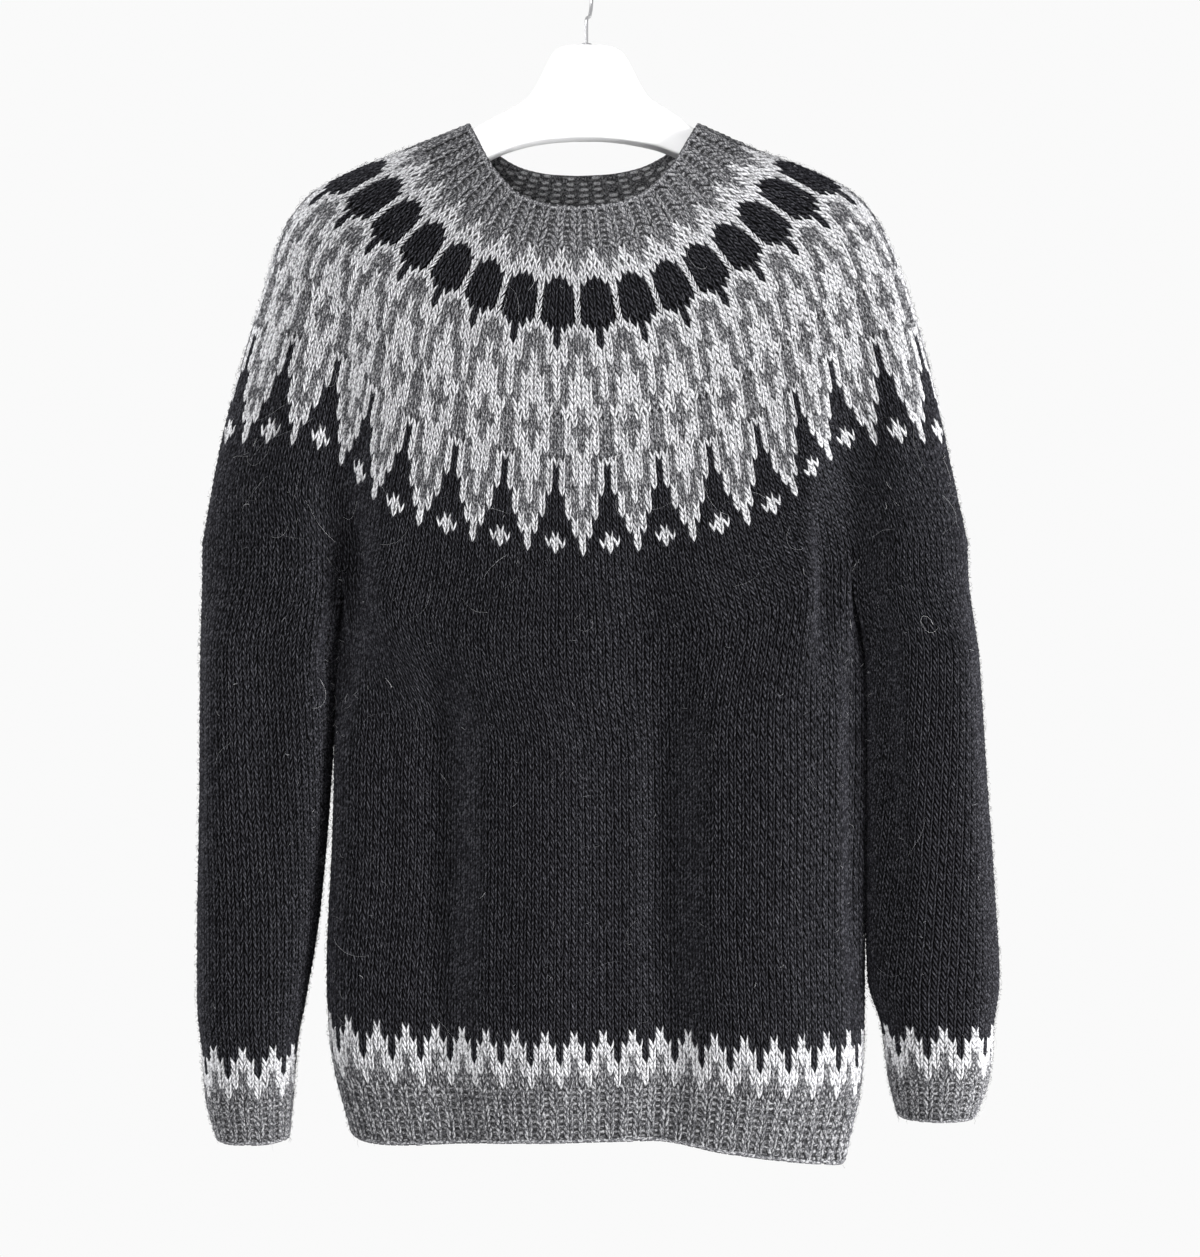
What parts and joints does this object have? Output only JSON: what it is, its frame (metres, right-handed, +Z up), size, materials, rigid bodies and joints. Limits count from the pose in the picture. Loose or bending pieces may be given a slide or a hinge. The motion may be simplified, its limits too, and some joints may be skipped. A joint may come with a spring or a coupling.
{
  "type": "nordic yoke sweater on a hanger",
  "caption": "Hand-knit wool pullover with a patterned circular yoke, ribbed neck, hem and cuffs, hanging open on a contoured clothes hanger with a wire hook.",
  "frame": {"origin": "inside of the hanger hook's crown, where the hook rests on the rail, rod or peg that carries it", "axes": "+Z up, -Y out of the sweater's front, +X to the right of someone who looks at that front"},
  "size_m": [0.5707, 0.1286, 0.8592],
  "materials": {
    "black_wool": "black wool in stocking stitch, matt with a light hair",
    "yoke_wool": "light grey, mid grey and black wool in stranded stocking stitch",
    "grey_wool": "mid grey heather wool in single rib",
    "white_plastic": "smooth white, satin to gloss",
    "steel": "plated wire, bright"
  },
  "bodies": {
    "root": {"neckband": "grey_wool", "yoke": "yoke_wool", "body": "black_wool", "hem_rib": "grey_wool", "sleeve_left": "black_wool", "sleeve_right": "black_wool", "cuff_left": "grey_wool", "cuff_right": "grey_wool", "hanger": "white_plastic", "hanger_hook": "steel"}
  },
  "joints": []
}
